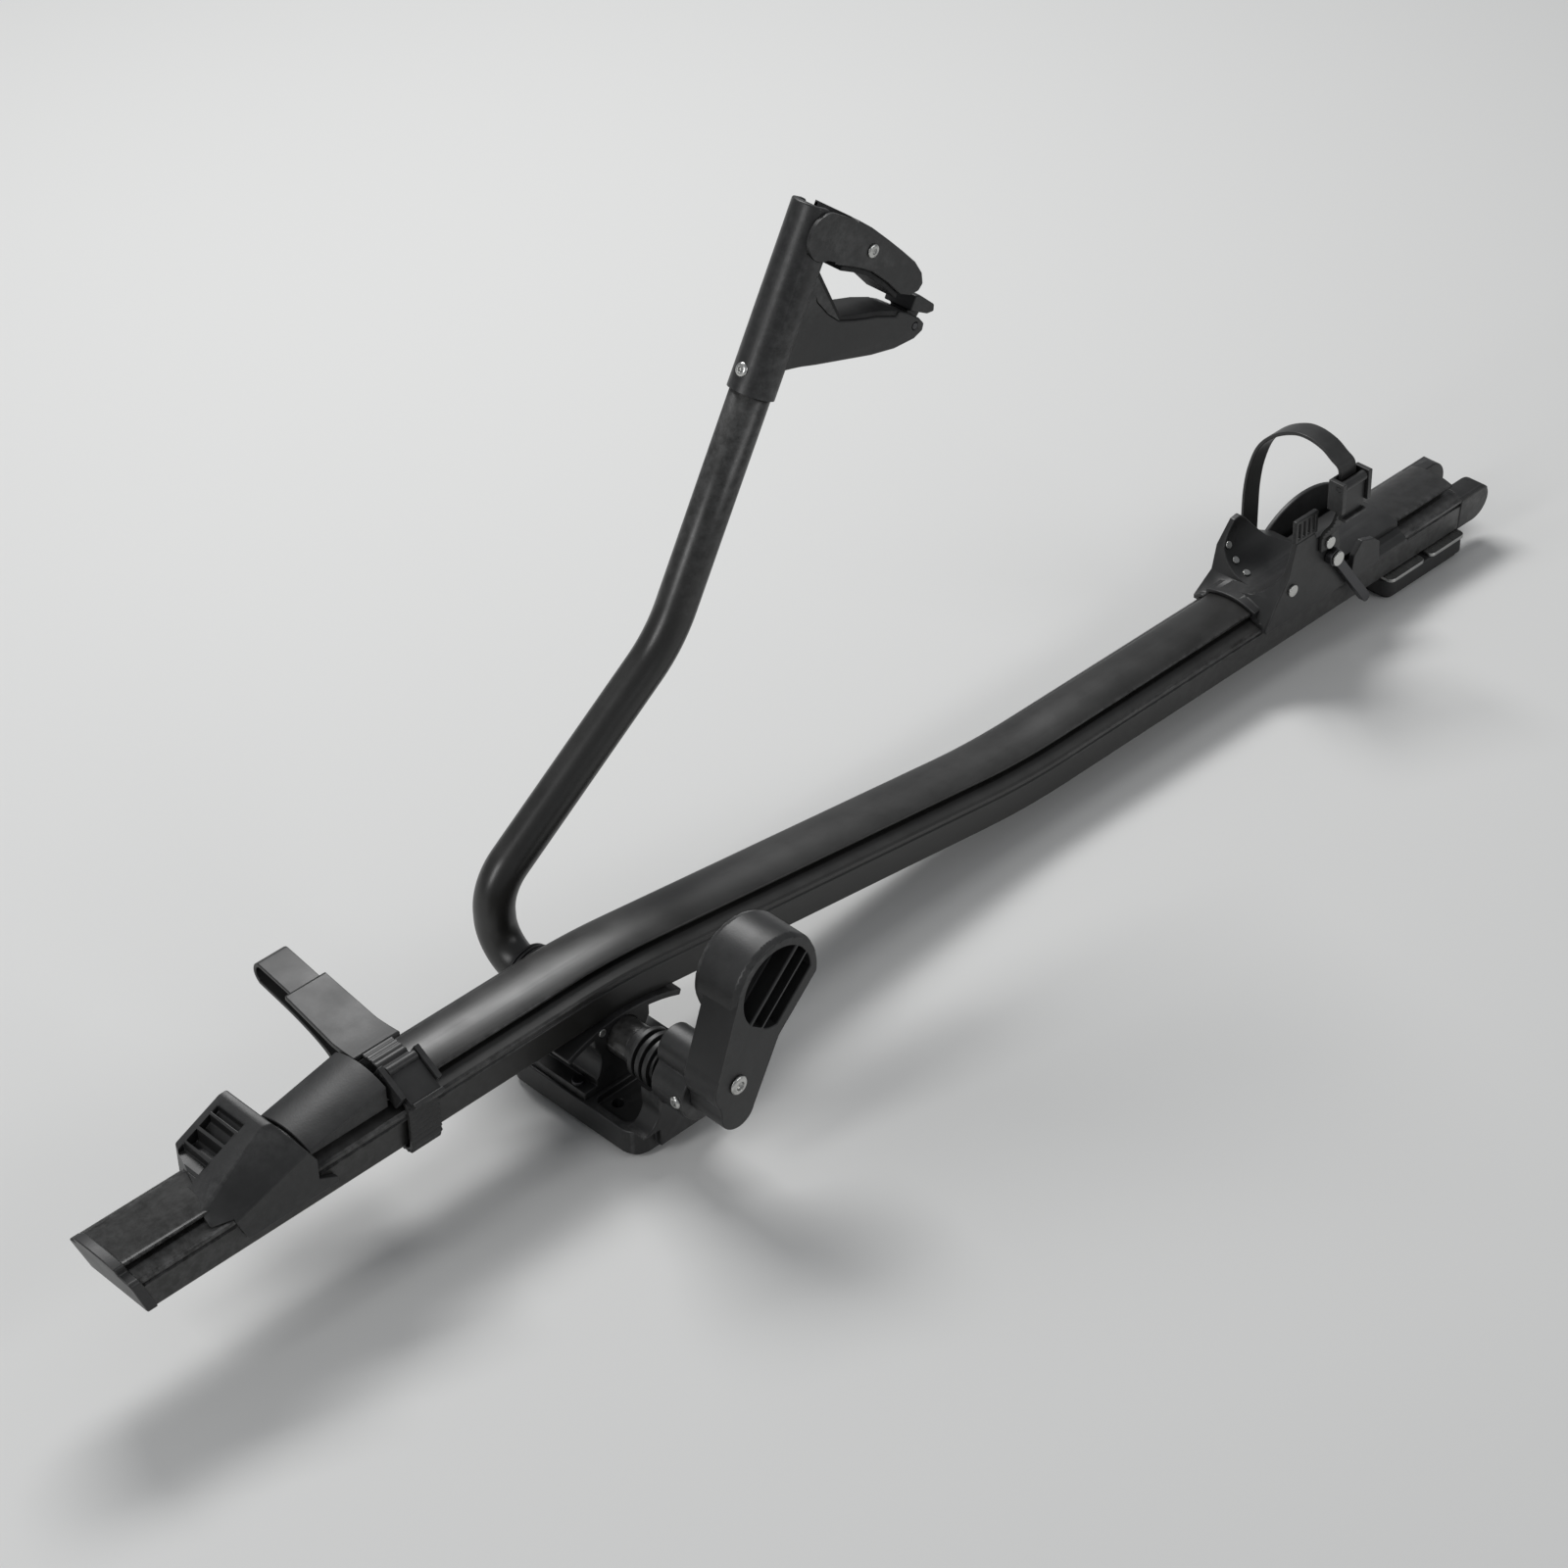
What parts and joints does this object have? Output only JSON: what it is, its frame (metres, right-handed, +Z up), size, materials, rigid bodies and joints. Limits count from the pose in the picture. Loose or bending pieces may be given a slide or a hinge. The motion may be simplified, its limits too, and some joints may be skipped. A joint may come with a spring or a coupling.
{
  "type": "roof mounted bike carrier",
  "caption": "Roof bike carrier: bent aluminium rail on feet, folding arm with a frame clamp, cam lever, wheel chock and sliding wheel tray with ladder straps.",
  "frame": {"origin": "on the crossbar, under the front foot's pad, below the arm's pivot", "axes": "+X along the rail towards the rear wheel, +Y to the arm's side, +Z up"},
  "size_m": [1.3462, 0.2796, 0.5167],
  "materials": {
    "anodised": "satin black",
    "moulded": "fine grained black",
    "rubber": "matt",
    "strap": "soft black",
    "steel": "zinc plated",
    "steel_dark": "dark oxide"
  },
  "bodies": {
    "frame": {"rail": "anodised", "front_end_cap": "moulded", "rear_end_cap": "moulded", "front_chock": "moulded", "front_ramp": "moulded", "front_strap": "strap", "front_buckle": "moulded", "foot_base": "moulded", "foot_pad": "rubber", "saddle": "moulded", "saddle_screws": "steel_dark", "saddle_rivet": "steel", "pivot_barrel": "anodised", "lever_drum": "moulded", "drum_rivet": "steel", "lever_spindle": "steel_dark"},
    "arm": {"pivot_shaft": "steel_dark", "arm_collar": "moulded", "arm_tube": "anodised", "clamp_head": "moulded", "head_screw": "steel", "lower_pad": "rubber", "jaw_pin": "steel_dark", "latch_pin": "steel_dark"},
    "jaw": {"upper_jaw": "moulded", "upper_pad": "rubber", "jaw_screw": "steel"},
    "latch": {"jaw_latch": "moulded"},
    "lever": {"quick_lever": "moulded", "lever_rivet": "steel", "lever_pin": "steel_dark"},
    "ring": {"pressure_ring": "moulded"},
    "front_flap": {"front_buckle_lever": "moulded"},
    "tray": {"rear_tray": "moulded", "tray_side": "moulded", "tray_rivets": "steel", "strap_guide": "moulded", "rear_strap": "strap", "strap_rivets": "steel", "rear_buckle": "moulded", "lock_pin": "steel"},
    "rear_flap": {"rear_buckle_lever": "moulded"},
    "bar": {"lock_bar": "steel_dark"},
    "rear_foot": {"rear_foot": "moulded", "rear_foot_pad": "rubber", "rear_foot_plates": "steel", "rear_foot_bolts": "steel_dark"}
  },
  "joints": [
    {"name": "arm_fold", "type": "hinge", "parent": "frame", "child": "arm", "pos_m": [0, 0, 0.06], "axis": [0, 1, 0], "range_deg": [-45, 38]},
    {"name": "jaw_open", "type": "hinge", "parent": "arm", "child": "jaw", "pos_m": [0.31439, 0.092, 0.49168], "axis": [0, -1, 0], "range_deg": [0, 70]},
    {"name": "latch_press", "type": "hinge", "parent": "arm", "child": "latch", "pos_m": [0.39857, 0.092, 0.38661], "axis": [0, 1, 0], "range_deg": [0, 18], "stiffness_Nm_per_rad": 0.3},
    {"name": "lever_turn", "type": "hinge", "parent": "frame", "child": "lever", "pos_m": [0, -0.1306, 0.084], "axis": [0, -1, 0], "range_deg": [0, 100]},
    {"name": "ring_slide", "type": "slide", "parent": "frame", "child": "ring", "axis": [0, -1, 0], "range_m": [0, 0.0016]},
    {"name": "front_flap_open", "type": "hinge", "parent": "frame", "child": "front_flap", "pos_m": [-0.17, -0.0155, 0.13], "axis": [-1, 0, 0], "range_deg": [0, 60]},
    {"name": "tray_slide", "type": "slide", "parent": "frame", "child": "tray", "axis": [1, 0, 0], "range_m": [-0.2, 0.06]},
    {"name": "rear_flap_open", "type": "hinge", "parent": "tray", "child": "rear_flap", "pos_m": [0.726, -0.0582, 0.165], "axis": [-1, 0, 0], "range_deg": [0, 60]},
    {"name": "bar_swing", "type": "hinge", "parent": "tray", "child": "bar", "pos_m": [0.732, -0.0403, 0.086], "axis": [0, -1, 0], "range_deg": [0, 80]},
    {"name": "rear_foot_slide", "type": "slide", "parent": "frame", "child": "rear_foot", "axis": [1, 0, 0], "range_m": [-0.3, 0]}
  ],
  "couplings": [
    {"joint": "ring_slide", "follows": "lever_turn", "m_per_rad": 0.00085944}
  ]
}
